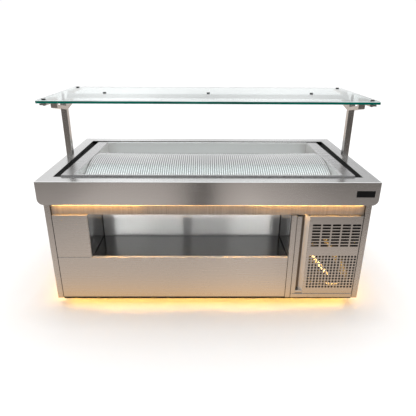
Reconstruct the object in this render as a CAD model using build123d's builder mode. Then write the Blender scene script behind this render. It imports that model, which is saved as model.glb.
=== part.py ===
from build123d import *
import os
import math

os.makedirs("parts", exist_ok=True)

# ---------------------------------------------------------------- driving dimensions (mm)
LENGTH = 2000.0          # worktop length along X
DEPTH = 1120.0           # worktop depth along Y
Z_TOP = 866.0            # worktop rim height above the floor
SLAB_H = 144.0           # height of the fascia
T = 2.0                  # rim, side panel and header sheet
S = 1.5                  # thinner sheet
CORNER_R = 36.0          # lower bend of the slab ends
RIM_FRONT = 92.0         # rim width, front and rear
RIM_SIDE = 77.0          # rim width, ends
DECK_X = 875.0           # half length of the raised deck
DECK_RISE = 10.0         # deck lip above the rim, front edge
DECK_FALL = 0.92         # degrees the deck and grilles fall to the rear, towards the drain
WELL_X = 798.3           # half length of the well opening
WELL_Y = 447.0           # half depth of the well opening
WELL_FLOOR = 719.5       # top of the well floor
BED_R = 742.0            # crown radius of the ribbed bed, rib tops
BED_CREST = 868.0        # height of the rib tops at the crest
BED_HALF_X = 796.6
RIB_PITCH = 14.225
RIB_COUNT = 112
RIB_RISE = 1.9
CAB_X = 975.0            # half length of the cabinet
CAB_Y = 540.0            # half depth of the cabinet
CAB_BOTTOM = 63.0
PAN = 23.0               # depth of folded front panels
HEADER_Y = 525.0         # header face, set back from the panels
HEADER_Z = 648.0         # lower edge of the header
NICHE_X0, NICHE_X1 = -722.0, 499.0
NICHE_BACK = -220.0
NICHE_FLOOR = 359.0
NICHE_TOP = 646.0
DOOR_X0, DOOR_X1 = 538.0, 936.0
DOOR_Z0, DOOR_Z1 = 97.0, 643.0
LEAF_X0 = 613.0
PIVOT_X, PIVOT_Y = 927.0, -532.0
PIVOT_R = 4.0
FIT = 0.05               # radial running clearance
POST_X = 960.0
POST = 40.0
POST_TOP = 1190.0        # underside of the arms at the post
HEAD_Z = 1232.0          # top of the post
GLASS_Z = 1278.5         # underside of the glass
GLASS_T = 17.5           # laminated pane
HEAD_T = 5.0             # height of the button heads
GLASS_X, GLASS_Y = 995.0, 382.0
FIX_Y = 340.0
BAR_BOLT_X = 684.0
FOOT_X, FOOT_Y = 800.0, 410.0
FAN_X, FAN_Z = 770.0, 515.0
FAN_R = 116.0
DRAIN_X, DRAIN_Y = 700.0, 300.0

Z_SLAB = Z_TOP - SLAB_H
RIM_Y = DEPTH / 2 - RIM_FRONT
RIM_X = LENGTH / 2 - RIM_SIDE
HALF_L, HALF_D = LENGTH / 2, DEPTH / 2
DECK_Z = Z_TOP + DECK_RISE
DECK_Y = RIM_Y - 3.0


def block(x0, x1, y0, y1, z0, z1, mode=Mode.ADD):
    with Locations(((x0 + x1) / 2, (y0 + y1) / 2, (z0 + z1) / 2)):
        Box(x1 - x0, y1 - y0, z1 - z0, mode=mode)


def rod_z(x, y, z0, z1, r, mode=Mode.ADD):
    with Locations((x, y, (z0 + z1) / 2)):
        Cylinder(r, z1 - z0, mode=mode)


def rod_x(x0, x1, y, z, r, mode=Mode.ADD):
    with Locations(((x0 + x1) / 2, y, z)):
        Cylinder(r, x1 - x0, rotation=(0, 90, 0), mode=mode)


def rod_y(x, y0, y1, z, r, mode=Mode.ADD):
    with Locations((x, (y0 + y1) / 2, z)):
        Cylinder(r, y1 - y0, rotation=(90, 0, 0), mode=mode)


# ---------------------------------------------------------------- worktop rims
def long_rim(side):
    """Front (side -1) or rear (side +1) rim: flat top, tall fascia, lower return."""
    y_out, y_in = side * HALF_D, side * RIM_Y
    ya, yb = sorted((y_out, y_out - side * T))
    with BuildSketch(Plane.XY.offset(Z_TOP - T)) as sk:
        with BuildLine():
            Polyline((-HALF_L, y_out), (HALF_L, y_out), (RIM_X, y_in), (-RIM_X, y_in), close=True)
        make_face()
    extrude(sk.sketch, amount=T)
    with BuildSketch(Plane.XZ.offset(-ya)) as sk:
        with BuildLine():
            Line((-HALF_L, Z_TOP), (HALF_L, Z_TOP))
            Line((HALF_L, Z_TOP), (HALF_L, Z_SLAB + CORNER_R))
            RadiusArc((HALF_L, Z_SLAB + CORNER_R), (HALF_L - CORNER_R, Z_SLAB), CORNER_R)
            Line((HALF_L - CORNER_R, Z_SLAB), (-HALF_L + CORNER_R, Z_SLAB))
            RadiusArc((-HALF_L + CORNER_R, Z_SLAB), (-HALF_L, Z_SLAB + CORNER_R), CORNER_R)
            Line((-HALF_L, Z_SLAB + CORNER_R), (-HALF_L, Z_TOP))
        make_face()
    extrude(sk.sketch, amount=-T)
    yc, yd = sorted((y_out - side * T, y_out - side * 30))
    block(-926, 926, yc, yd, Z_SLAB, Z_SLAB + T)


with BuildPart() as front_rim:
    long_rim(-1)
    fillet(front_rim.edges().filter_by(Axis.X).group_by(Axis.Y)[0].sort_by(Axis.Z)[-1], radius=3)
front_rim.part.label = "front_rim"
export_step(front_rim.part, "parts/front_rim.step")

with BuildPart() as rear_rim:
    long_rim(1)
    fillet(rear_rim.edges().filter_by(Axis.X).group_by(Axis.Y)[-1].sort_by(Axis.Z)[-1], radius=3)
rear_rim.part.label = "rear_rim"
export_step(rear_rim.part, "parts/rear_rim.step")


def end_rim(side):
    """Left (side -1) or right (side +1) rim with the sleeve that holds the post."""
    y_end = HALF_D - T
    x_cut = HALF_L - RIM_SIDE * T / RIM_FRONT
    with BuildSketch(Plane.XY.offset(Z_TOP - T)) as sk:
        with BuildLine():
            Polyline(
                (side * HALF_L, -y_end), (side * x_cut, -y_end), (side * RIM_X, -RIM_Y),
                (side * RIM_X, RIM_Y), (side * x_cut, y_end), (side * HALF_L, y_end), close=True,
            )
        make_face()
        with Locations((side * POST_X, 0)):
            Rectangle(POST + 0.6, POST + 0.6, mode=Mode.SUBTRACT)
    extrude(sk.sketch, amount=T)
    k = CORNER_R * (1 - math.sqrt(0.5))
    k2 = (CORNER_R - T) * (1 - math.sqrt(0.5))
    with BuildSketch(Plane.XZ.offset(-y_end)) as sk:
        with BuildLine():
            Line((side * HALF_L, Z_TOP - T), (side * HALF_L, Z_SLAB + CORNER_R))
            ThreePointArc(
                (side * HALF_L, Z_SLAB + CORNER_R), (side * (HALF_L - k), Z_SLAB + k),
                (side * (HALF_L - CORNER_R), Z_SLAB),
            )
            Polyline(
                (side * (HALF_L - CORNER_R), Z_SLAB), (side * 930, Z_SLAB), (side * 930, Z_SLAB + T),
                (side * (HALF_L - CORNER_R), Z_SLAB + T),
            )
            ThreePointArc(
                (side * (HALF_L - CORNER_R), Z_SLAB + T), (side * (HALF_L - T - k2), Z_SLAB + T + k2),
                (side * (HALF_L - T), Z_SLAB + CORNER_R),
            )
            Polyline(
                (side * (HALF_L - T), Z_SLAB + CORNER_R), (side * (HALF_L - T), Z_TOP - T),
                (side * HALF_L, Z_TOP - T),
            )
        make_face()
    extrude(sk.sketch, amount=2 * y_end)
    with BuildSketch(Plane.XY.offset(Z_TOP - 110)) as sk:
        with Locations((side * POST_X, 0)):
            Rectangle(POST + 6, POST + 6)
            Rectangle(POST + 0.6, POST + 0.6, mode=Mode.SUBTRACT)
    extrude(sk.sketch, amount=110 - T)
    block(side * POST_X - 23, side * POST_X + 23, -23, 23, Z_TOP - 113, Z_TOP - 110)


with BuildPart() as left_rim:
    end_rim(-1)
    fillet(left_rim.edges().filter_by(Axis.Y).group_by(Axis.X)[0].sort_by(Axis.Z)[-1], radius=3)
left_rim.part.label = "left_rim"
export_step(left_rim.part, "parts/left_rim.step")

with BuildPart() as right_rim:
    end_rim(1)
    fillet(right_rim.edges().filter_by(Axis.Y).group_by(Axis.X)[-1].sort_by(Axis.Z)[-1], radius=3)
right_rim.part.label = "right_rim"
export_step(right_rim.part, "parts/right_rim.step")

# blank plate on the fascia
with BuildPart() as badge_plate:
    block(864, 972, -HALF_D - 1.5, -HALF_D, Z_TOP - 92, Z_TOP - 53)
    fillet(badge_plate.edges().filter_by(Axis.Y), radius=2.5)
badge_plate.part.label = "badge_plate"
export_step(badge_plate.part, "parts/badge_plate.step")

# ---------------------------------------------------------------- well, bed, air path
fall_axis = Axis((0, -DECK_Y, DECK_Z), (1, 0, 0))
with BuildPart() as deck_frame:
    # end flanges, long lips and skirts, with a rolled edge round the opening
    block(-DECK_X, DECK_X, -DECK_Y, DECK_Y - 9, DECK_Z - S, DECK_Z)
    block(-WELL_X - 8, WELL_X + 8, -WELL_Y - 8, WELL_Y + 8, DECK_Z - 8, DECK_Z)
    block(-WELL_X, WELL_X, -WELL_Y, WELL_Y, DECK_Z - 9, DECK_Z, mode=Mode.SUBTRACT)
    inner = [
        e for e in deck_frame.edges().filter_by(Axis.Z)
        if abs(abs(e.center().X) - WELL_X) < 0.1 and abs(abs(e.center().Y) - WELL_Y) < 0.1
    ]
    fillet(inner, radius=10)
    rolled = [
        e for e in deck_frame.edges().group_by(Axis.Z)[-1]
        if abs(e.center().X) < WELL_X + 0.1 and abs(e.center().Y) < WELL_Y + 0.1
    ]
    fillet(rolled, radius=7)
    block(-DECK_X, DECK_X, -DECK_Y, -DECK_Y + S, 846, DECK_Z)
    block(-DECK_X, DECK_X, DECK_Y - 9 - S, DECK_Y - 9, 846, DECK_Z)
    for sgn in (-1, 1):
        a, b = sorted((sgn * DECK_X, sgn * (DECK_X - S)))
        block(a, b, -DECK_Y, DECK_Y - 9, 845, DECK_Z)
        a, b = sorted((sgn * (DECK_X - S), sgn * (DECK_X + 8)))
        block(a, b, -DECK_Y + 4, DECK_Y - 13, 843.5, 845)
with BuildPart() as above_deck:
    block(-1000, 1000, -600, 600, DECK_Z - 4, DECK_Z + 60)
with BuildPart() as well_liner:
    for sgn in (-1, 1):
        # well walls
        a, b = sorted((sgn * (WELL_Y + 0.3), sgn * (WELL_Y + 0.3 + S)))
        block(-WELL_X - S, WELL_X + S, a, b, WELL_FLOOR - S, DECK_Z)
        a, b = sorted((sgn * WELL_X, sgn * (WELL_X + S)))
        block(a, b, -WELL_Y - 1, WELL_Y + 1, WELL_FLOOR - S, DECK_Z)
        # air openings under the bed
        block(a - 1, b + 1, -230, 230, 740, 798, mode=Mode.SUBTRACT)
    block(-WELL_X, WELL_X, -WELL_Y - 1, WELL_Y + 1, WELL_FLOOR - S, WELL_FLOOR)
    rod_z(DRAIN_X, DRAIN_Y, WELL_FLOOR - 5, WELL_FLOOR + 5, 20.4, mode=Mode.SUBTRACT)
    add(above_deck.part.rotate(fall_axis, -DECK_FALL), mode=Mode.SUBTRACT)
    add(deck_frame.part.rotate(fall_axis, -DECK_FALL))
well_liner.part.label = "well_liner"
export_step(well_liner.part, "parts/well_liner.step")

with BuildPart() as well_insulation:
    block(-832, 832, -WELL_Y - 29, WELL_Y + 29, 692, WELL_FLOOR - S)
    for sgn in (-1, 1):
        a, b = sorted((sgn * (WELL_Y + 0.3 + S), sgn * (WELL_Y + 29)))
        block(-WELL_X - S, WELL_X + S, a, b, WELL_FLOOR - S, 840 if sgn < 0 else 824)
    rod_z(DRAIN_X, DRAIN_Y, 690, WELL_FLOOR, 21.0, mode=Mode.SUBTRACT)
well_insulation.part.label = "well_insulation"
export_step(well_insulation.part, "parts/well_insulation.step")

# crowned bed: corrugated sheet swept about an axis along X
bed_axis_z = BED_CREST - BED_R
bed_angle = 36.32
with BuildPart() as ribbed_bed:
    with BuildSketch(Plane.XZ):
        with BuildLine():
            x0 = -RIB_COUNT * RIB_PITCH / 2
            upper = []
            for n in range(RIB_COUNT):
                xa = x0 + n * RIB_PITCH
                for share, level in ((0.0, -2), (0.14, -2), (0.30, -0.5), (0.44, 0), (0.70, 0), (0.84, -0.5)):
                    upper.append((xa + share * RIB_PITCH, BED_CREST + level * RIB_RISE))
            upper.append((-x0, BED_CREST - 2 * RIB_RISE))
            lower = [(px, pz - S) for px, pz in reversed(upper)]
            Polyline(*upper, *lower, close=True)
        make_face()
    revolve(axis=Axis((0, 0, bed_axis_z), (1, 0, 0)), revolution_arc=2 * bed_angle)
bed_solid = ribbed_bed.part.rotate(Axis((0, 0, bed_axis_z), (1, 0, 0)), -bed_angle)
bed_box = bed_solid.bounding_box()
print("bed", bed_box.min, bed_box.max)
bed_solid.label = "ribbed_bed"
export_step(bed_solid, "parts/ribbed_bed.step")


def grille(side):
    """Black slot grille: frame with lengthwise vanes and cross ties."""
    x0, x1 = sorted((side * (DECK_X + 2.0), side * (RIM_X - 0.7)))
    y1 = RIM_Y - 1.5
    step = (x1 - x0 - 8) / 5
    block(x0, x1, -y1, y1, 845, 861)
    block(x0 + 4, x1 - 4, -y1 + 5, y1 - 5, 845, 861, mode=Mode.SUBTRACT)
    for k in range(5):
        xv = x0 + 4 + step * (k + 0.5)
        block(xv - 1.3, xv + 1.3, -y1 + 5, y1 - 5, 848, 860)
    for k in range(9):
        yv = (k - 4) * 92.0
        block(x0 + 4, x1 - 4, yv - 1.5, yv + 1.5, 846, 856)


with BuildPart() as left_air_grille:
    grille(-1)
left_grille_solid = left_air_grille.part.rotate(fall_axis, -DECK_FALL)
left_grille_solid.label = "left_air_grille"
export_step(left_grille_solid, "parts/left_air_grille.step")

with BuildPart() as right_air_grille:
    grille(1)
right_grille_solid = right_air_grille.part.rotate(fall_axis, -DECK_FALL)
right_grille_solid.label = "right_air_grille"
export_step(right_grille_solid, "parts/right_air_grille.step")


def duct(side):
    """Open tray under a grille: outer wall, floor and two ends, open toward the well."""
    a, b = sorted((side * 802.0, side * (RIM_X + 1.4)))
    block(a, b, -470, 470, 726, 727.5)
    c, d = sorted((side * (RIM_X - 0.1), side * (RIM_X + 1.4)))
    block(c, d, -470, 470, 726, 860)
    c, d = sorted((side * (RIM_X - 8.0), side * (RIM_X + 0.6)))
    with BuildPart(mode=Mode.PRIVATE) as ledge:
        block(c, d, -467, 467, 843.5, 845)
    add(ledge.part.rotate(fall_axis, -DECK_FALL))
    for sgn in (-1, 1):
        e, f = sorted((sgn * 468.5, sgn * 470.0))
        block(a, b, e, f, 726, 843.5 if sgn < 0 else 828)


with BuildPart() as air_ducts:
    duct(-1)
    duct(1)
air_ducts.part.label = "air_ducts"
export_step(air_ducts.part, "parts/air_ducts.step")

# evaporator under the bed
with BuildPart() as evaporator_coil:
    with BuildSketch(Plane.XZ.offset(-115)):
        with Locations((100, 775)):
            with GridLocations(20, 1, 45, 1):
                Rectangle(1.0, 86)
    extrude(amount=230)
    for yy in (-90, -30, 30, 90):
        for zz in (755, 795):
            rod_x(-348, 548, yy, zz, 6)
    for xx in (-348, 544):
        block(xx, xx + 4, -120, 120, WELL_FLOOR, 822)
evaporator_coil.part.label = "evaporator_coil"
export_step(evaporator_coil.part, "parts/evaporator_coil.step")

with BuildPart() as evaporator_fan_plate:
    block(-422, -420, -220, 220, WELL_FLOOR, 822)
    for yy in (-110, 110):
        rod_x(-430, -410, yy, 771, 46, mode=Mode.SUBTRACT)
    for yy in (-110, 110):
        block(-424, -420, yy - 50, yy + 50, 768, 774)
        rod_x(-450, -420, yy, 771, 18)
        rod_x(-426, -395, yy, 771, 3.0 + FIT, mode=Mode.SUBTRACT)
evaporator_fan_plate.part.label = "evaporator_fan_plate"
export_step(evaporator_fan_plate.part, "parts/evaporator_fan_plate.step")


def small_rotor(yy):
    rod_x(-417, -403, yy, 771, 16)
    rod_x(-425, -417, yy, 771, 3.0)
    for k in range(5):
        with Locations(Location((-410, yy, 771), (72 * k, 0, 0))):
            with Locations(Location((0, 28, 0), (0, 25, 0))):
                Box(1.6, 27, 15)


with BuildPart() as evaporator_fan_rotor_front:
    small_rotor(-110)
evaporator_fan_rotor_front.part.label = "evaporator_fan_rotor_front"
export_step(evaporator_fan_rotor_front.part, "parts/evaporator_fan_rotor_front.step")

with BuildPart() as evaporator_fan_rotor_rear:
    small_rotor(110)
evaporator_fan_rotor_rear.part.label = "evaporator_fan_rotor_rear"
export_step(evaporator_fan_rotor_rear.part, "parts/evaporator_fan_rotor_rear.step")

# drain
with BuildPart() as drain_fitting:
    rod_z(DRAIN_X, DRAIN_Y, WELL_FLOOR, WELL_FLOOR + 2, 34)
    rod_z(DRAIN_X, DRAIN_Y, 560, WELL_FLOOR + 2, 20)
    rod_z(DRAIN_X, DRAIN_Y, 550, WELL_FLOOR + 4, 17, mode=Mode.SUBTRACT)
drain_fitting.part.label = "drain_fitting"
export_step(drain_fitting.part, "parts/drain_fitting.step")

with BuildPart() as drain_valve:
    rod_z(DRAIN_X, DRAIN_Y, 480, 560, 26)
    with Locations((DRAIN_X, DRAIN_Y, 520)):
        Sphere(34)
    rod_z(DRAIN_X, DRAIN_Y, 76, 482, 16)
    rod_z(DRAIN_X, DRAIN_Y, 40, 76, 15)
    rod_y(DRAIN_X, DRAIN_Y - 46, DRAIN_Y, 520, 10)
    rod_z(DRAIN_X, DRAIN_Y, 30, 570, 12.5, mode=Mode.SUBTRACT)
    rod_y(DRAIN_X, DRAIN_Y - 50, DRAIN_Y - 24, 520, 5 + FIT, mode=Mode.SUBTRACT)
drain_valve.part.label = "drain_valve"
export_step(drain_valve.part, "parts/drain_valve.step")

with BuildPart() as drain_lever:
    rod_y(DRAIN_X, DRAIN_Y - 52, DRAIN_Y - 26, 520, 5)
    rod_y(DRAIN_X, DRAIN_Y - 52, DRAIN_Y - 47, 520, 11)
    block(DRAIN_X, DRAIN_X + 95, DRAIN_Y - 52, DRAIN_Y - 48, 511, 529)
    fillet(drain_lever.edges().filter_by(Axis.Y).group_by(Axis.X)[-1], radius=7)
drain_lever.part.label = "drain_lever"
export_step(drain_lever.part, "parts/drain_lever.step")

# ---------------------------------------------------------------- glass shelf and its posts
def post(side):
    """Square post with two joggled arms welded to its faces and a slim stem up to the glass."""
    x = side * POST_X
    with BuildSketch(Plane.XY.offset(Z_TOP - 110)) as sk:
        with Locations((x, 0)):
            RectangleRounded(POST, POST, 3)
            RectangleRounded(POST - 4, POST - 4, 1.2, mode=Mode.SUBTRACT)
    extrude(sk.sketch, amount=HEAD_Z - Z_TOP + 110)
    block(x - 18.5, x + 18.5, -18.5, 18.5, HEAD_Z - 3, HEAD_Z)
    for sgn in (-1, 1):
        with BuildSketch(Plane.YZ.offset(x)) as sk:
            with BuildLine():
                Polyline(
                    (sgn * 19, POST_TOP), (sgn * 186, POST_TOP + 34), (sgn * 190, GLASS_Z - 17),
                    (sgn * (FIX_Y + 20), GLASS_Z - 13), (sgn * (FIX_Y + 20), GLASS_Z - 4), (sgn * 168, GLASS_Z - 4),
                    (sgn * 164, POST_TOP + 52), (sgn * 19, POST_TOP + 23), close=True,
                )
            make_face()
            fillet([v for v in sk.vertices() if 150 < abs(v.Y) < 200], radius=5)
        extrude(sk.sketch, amount=POST / 2, both=True)
    rod_z(x, 0, HEAD_Z - 2, GLASS_Z - 4, 8)
    for sgn in (-1, 1):
        rod_z(x, sgn * FIX_Y, GLASS_Z - 60, GLASS_Z, 4.3, mode=Mode.SUBTRACT)
        rod_z(x, sgn * FIX_Y, GLASS_Z - 60, GLASS_Z - 12, 9, mode=Mode.SUBTRACT)


with BuildPart() as left_post:
    post(-1)
left_post.part.label = "left_post"
export_step(left_post.part, "parts/left_post.step")

with BuildPart() as right_post:
    post(1)
right_post.part.label = "right_post"
export_step(right_post.part, "parts/right_post.step")

corner_fixings = [(sx * POST_X, sy * FIX_Y) for sx in (-1, 1) for sy in (-1, 1)]
bar_fixings = [(-BAR_BOLT_X, 0), (0, 0), (BAR_BOLT_X, 0)]

with BuildPart() as glass_shelf:
    block(-GLASS_X, GLASS_X, -GLASS_Y, GLASS_Y, GLASS_Z, GLASS_Z + GLASS_T)
    fillet(glass_shelf.edges().filter_by(Axis.Z), radius=6)
    chamfer(glass_shelf.faces().sort_by(Axis.Z)[-1].edges(), length=3.6)
    fillet(glass_shelf.faces().sort_by(Axis.Z)[0].edges(), radius=1.0)
    for px, py in corner_fixings + bar_fixings:
        rod_z(px, py, GLASS_Z - 1, GLASS_Z + GLASS_T + 1, 5, mode=Mode.SUBTRACT)
glass_shelf.part.label = "glass_shelf"
export_step(glass_shelf.part, "parts/glass_shelf.step")

with BuildPart() as glass_bolts:
    for px, py in corner_fixings:
        rod_z(px, py, GLASS_Z + GLASS_T, GLASS_Z + GLASS_T + HEAD_T, 11.5)
        rod_z(px, py, GLASS_Z - 18, GLASS_Z + GLASS_T, 4)
        rod_z(px, py, GLASS_Z - 18, GLASS_Z - 12, 7)
    for px, py in bar_fixings:
        rod_z(px, py, GLASS_Z + GLASS_T, GLASS_Z + GLASS_T + HEAD_T, 11)
        rod_z(px, py, GLASS_Z - 10, GLASS_Z + GLASS_T, 4)
glass_bolts.part.label = "glass_bolts"
export_step(glass_bolts.part, "parts/glass_bolts.step")

with BuildPart() as glass_pads:
    for px, py in corner_fixings:
        rod_z(px, py, GLASS_Z - 4, GLASS_Z, 17)
        rod_z(px, py, GLASS_Z - 5, GLASS_Z + 1, 4.3, mode=Mode.SUBTRACT)
    for sx in (-1, 1):
        rod_z(sx * POST_X, 0, GLASS_Z - 4, GLASS_Z, 11)
    for px, py in bar_fixings:
        rod_z(px, py, GLASS_Z - 4, GLASS_Z, 9)
        rod_z(px, py, GLASS_Z - 5, GLASS_Z + 1, 4.3, mode=Mode.SUBTRACT)
glass_pads.part.label = "glass_pads"
export_step(glass_pads.part, "parts/glass_pads.step")

with BuildPart() as light_bar:
    block(-930, 930, -17, 17, GLASS_Z - 30, GLASS_Z - 4)
    block(-926, 926, -15, 15, GLASS_Z - 31, GLASS_Z - 10, mode=Mode.SUBTRACT)
    for px, py in bar_fixings:
        rod_z(px, py, GLASS_Z - 12, GLASS_Z, 4.3, mode=Mode.SUBTRACT)
light_bar.part.label = "light_bar"
export_step(light_bar.part, "parts/light_bar.step")

with BuildPart() as light_bar_diffuser:
    block(-925.5, 925.5, -14.6, 14.6, GLASS_Z - 31.5, GLASS_Z - 27)
light_bar_diffuser.part.label = "light_bar_diffuser"
export_step(light_bar_diffuser.part, "parts/light_bar_diffuser.step")

# ---------------------------------------------------------------- frame, base, feet
ring = [
    # base ring, foot rails
    (-938, 938, -512, -472, 77, 117), (-938, 938, 472, 512, 77, 117),
    (-938, -898, -512, 512, 77, 117), (898, 938, -512, 512, 77, 117),
    (-938, 938, -430, -390, 77, 117), (-938, 938, 390, 430, 77, 117),
    # uprights
    (-938, -908, -512, -482, 77, 722), (908, 938, -512, -482, 77, 722),
    (-938, -908, 482, 512, 77, 722), (908, 938, 482, 512, 77, 722),
    (504, 534, -512, -482, 77, 722), (504, 534, 482, 512, 77, 722),
    # top ring and the cross beams under the well
    (-938, 938, -512, -482, 692, 722), (-938, 938, 482, 512, 692, 722),
    (-938, -908, -512, 512, 692, 722), (908, 938, -512, 512, 692, 722),
    (-415, -385, -512, 512, 662, 692), (385, 415, -512, 512, 662, 692),
]
foot_xy = [(sx * FOOT_X, sy * FOOT_Y) for sx in (-1, 1) for sy in (-1, 1)]
with BuildPart() as cabinet_frame:
    for x0_, x1_, y0_, y1_, z0_, z1_ in ring:
        block(x0_, x1_, y0_, y1_, z0_, z1_)
    for x0_, x1_, y0_, y1_, z0_, z1_ in ring:
        block(x0_ + 2, x1_ - 2, y0_ + 2, y1_ - 2, z0_ + 2, z1_ - 2, mode=Mode.SUBTRACT)
    for fx, fy in foot_xy:
        block(fx - 20, fx + 20, fy - 19, fy + 19, 78, 116)
        rod_z(fx, fy, 70, 120, 7 + FIT, mode=Mode.SUBTRACT)
cabinet_frame.part.label = "cabinet_frame"
export_step(cabinet_frame.part, "parts/cabinet_frame.step")

with BuildPart() as base_plate:
    block(-936, 936, -510, 510, 75, 77)
    # down-turned edges that hide the light strips
    for sgn in (-1, 1):
        a, b = sorted((sgn * 509, sgn * 511))
        block(-936, 936, a, b, 63, 77)
        a, b = sorted((sgn * 509, sgn * 538.5))
        block(-936, 936, a, b, 63, 65)
        a, b = sorted((sgn * 536.5, sgn * 538.5))
        block(-936, 936, a, b, 58, 65)
        block(-936, 500 if sgn < 0 else 936, a, b, 58, 71 if sgn < 0 else 80)
    for fx, fy in foot_xy:
        rod_z(fx, fy, 70, 80, 16, mode=Mode.SUBTRACT)
    rod_z(DRAIN_X, DRAIN_Y, 70, 80, 19, mode=Mode.SUBTRACT)
base_plate.part.label = "base_plate"
export_step(base_plate.part, "parts/base_plate.step")

def foot(fx, fy):
    with BuildSketch(Plane.XZ.offset(-fy)) as sk:
        with BuildLine():
            Polyline(
                (fx, 0), (fx + 30, 0), (fx + 32, 2), (fx + 32, 9), (fx + 30, 11), (fx + 16, 22),
                (fx + 12, 22), (fx + 12, 46), (fx + 7, 46), (fx + 7, 112), (fx, 112), close=True,
            )
        make_face()
    revolve(sk.sketch, axis=Axis((fx, fy, 0), (0, 0, 1)))
    with BuildSketch(Plane.XY.offset(24)) as sk:
        with Locations((fx, fy)):
            RegularPolygon(15, 6)
    extrude(sk.sketch, amount=14)


with BuildPart() as foot_front_left:
    foot(-FOOT_X, -FOOT_Y)
foot_front_left.part.label = "foot_front_left"
export_step(foot_front_left.part, "parts/foot_front_left.step")

with BuildPart() as foot_front_right:
    foot(FOOT_X, -FOOT_Y)
foot_front_right.part.label = "foot_front_right"
export_step(foot_front_right.part, "parts/foot_front_right.step")

with BuildPart() as foot_rear_left:
    foot(-FOOT_X, FOOT_Y)
foot_rear_left.part.label = "foot_rear_left"
export_step(foot_rear_left.part, "parts/foot_rear_left.step")

with BuildPart() as foot_rear_right:
    foot(FOOT_X, FOOT_Y)
foot_rear_right.part.label = "foot_rear_right"
export_step(foot_rear_right.part, "parts/foot_rear_right.step")

# ---------------------------------------------------------------- cabinet skins
def side_panel(side):
    with BuildSketch(Plane.XY.offset(CAB_BOTTOM)) as sk:
        with BuildLine():
            Polyline(
                (side * CAB_X, -CAB_Y), (side * 940, -CAB_Y), (side * 940, -515), (side * 942, -515),
                (side * 942, -CAB_Y + T), (side * (CAB_X - T), -CAB_Y + T), (side * (CAB_X - T), CAB_Y - T),
                (side * 942, CAB_Y - T), (side * 942, 515), (side * 940, 515), (side * 940, CAB_Y),
                (side * CAB_X, CAB_Y), close=True,
            )
        make_face()
    extrude(sk.sketch, amount=Z_SLAB - CAB_BOTTOM)


with BuildPart() as left_side_panel:
    side_panel(-1)
    fillet(left_side_panel.edges().filter_by(Axis.Z).group_by(Axis.X)[0], radius=2.5)
left_side_panel.part.label = "left_side_panel"
export_step(left_side_panel.part, "parts/left_side_panel.step")

with BuildPart() as right_side_panel:
    side_panel(1)
    fillet(right_side_panel.edges().filter_by(Axis.Z).group_by(Axis.X)[-1], radius=2.5)
right_side_panel.part.label = "right_side_panel"
export_step(right_side_panel.part, "parts/right_side_panel.step")

with BuildPart() as front_header:
    block(-939, 939, -HEADER_Y, -HEADER_Y + T, HEADER_Z, Z_SLAB - 0.2)
    block(-939, 939, -HEADER_Y, -514, HEADER_Z, HEADER_Z + T)
    block(-939, 939, -HEADER_Y, -514, Z_SLAB - 2.2, Z_SLAB - 0.2)
front_header.part.label = "front_header"
export_step(front_header.part, "parts/front_header.step")

with BuildPart() as led_strips:
    # one above the header, four under the base
    block(-925, 925, -543, -531, Z_SLAB - 8, Z_SLAB)
    block(-900, 900, -506, -494, 64, 75)
    block(-900, 900, 494, 506, 64, 75)
    block(-932, -920, -480, 480, 64, 75)
    block(920, 932, -480, 480, 64, 75)
led_strips.part.label = "led_strips"
export_step(led_strips.part, "parts/led_strips.step")


def front_pan(x0_, x1_, z0_, z1_, side=-1):
    """Folded panel: face sheet with four returns, open at the back."""
    y_face, y_back = side * CAB_Y, side * (CAB_Y - PAN)
    a, b = sorted((y_face, y_back))
    block(x0_, x1_, a, b, z0_, z1_)
    c, d = sorted((y_face - side * S, y_back - side * 1))
    block(x0_ + S, x1_ - S, c, d, z0_ + S, z1_ - S, mode=Mode.SUBTRACT)


with BuildPart() as upper_left_panel:
    front_pan(-936.5, -725, 364, HEADER_Z - 0.5)
    fillet(upper_left_panel.faces().sort_by(Axis.Y)[0].edges(), radius=1.2)
upper_left_panel.part.label = "upper_left_panel"
export_step(upper_left_panel.part, "parts/upper_left_panel.step")

with BuildPart() as lower_front_panel:
    front_pan(-936.5, 500, 72, 361.5)
    fillet(lower_front_panel.faces().sort_by(Axis.Y)[0].edges(), radius=1.2)
lower_front_panel.part.label = "lower_front_panel"
export_step(lower_front_panel.part, "parts/lower_front_panel.step")

with BuildPart() as divider_post:
    front_pan(503, 535, 67, HEADER_Z - 0.5)
    fillet(divider_post.faces().sort_by(Axis.Y)[0].edges(), radius=1.2)
divider_post.part.label = "divider_post"
export_step(divider_post.part, "parts/divider_post.step")

with BuildPart() as door_sill:
    front_pan(DOOR_X0, 937, 66, 94)
    fillet(door_sill.faces().sort_by(Axis.Y)[0].edges(), radius=1.2)
door_sill.part.label = "door_sill"
export_step(door_sill.part, "parts/door_sill.step")

# open niche: one folded wrap for floor, back and ceiling, and two end walls
NICHE_GAP = 4.0          # shadow gap between the wrap and the end walls
with BuildPart() as niche_wrap:
    xa, xb = NICHE_X0 + NICHE_GAP, NICHE_X1 - NICHE_GAP
    block(xa, xb, -515, NICHE_BACK - 4, NICHE_FLOOR - S, NICHE_FLOOR)
    block(xa, xb, -516.5, -515, NICHE_FLOOR - 16, NICHE_FLOOR)
    # shadow groove along the foot of the back
    block(xa, xb, NICHE_BACK - 4 - S, NICHE_BACK - 4, NICHE_FLOOR - 9, NICHE_FLOOR)
    block(xa, xb, NICHE_BACK - 4 - S, NICHE_BACK + S, NICHE_FLOOR - 9, NICHE_FLOOR - 9 + S)
    block(xa, xb, NICHE_BACK, NICHE_BACK + S, NICHE_FLOOR - 9, NICHE_TOP + S)
    block(xa, xb, -522, NICHE_BACK, NICHE_TOP, NICHE_TOP + S)
niche_wrap.part.label = "niche_wrap"
export_step(niche_wrap.part, "parts/niche_wrap.step")

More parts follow.
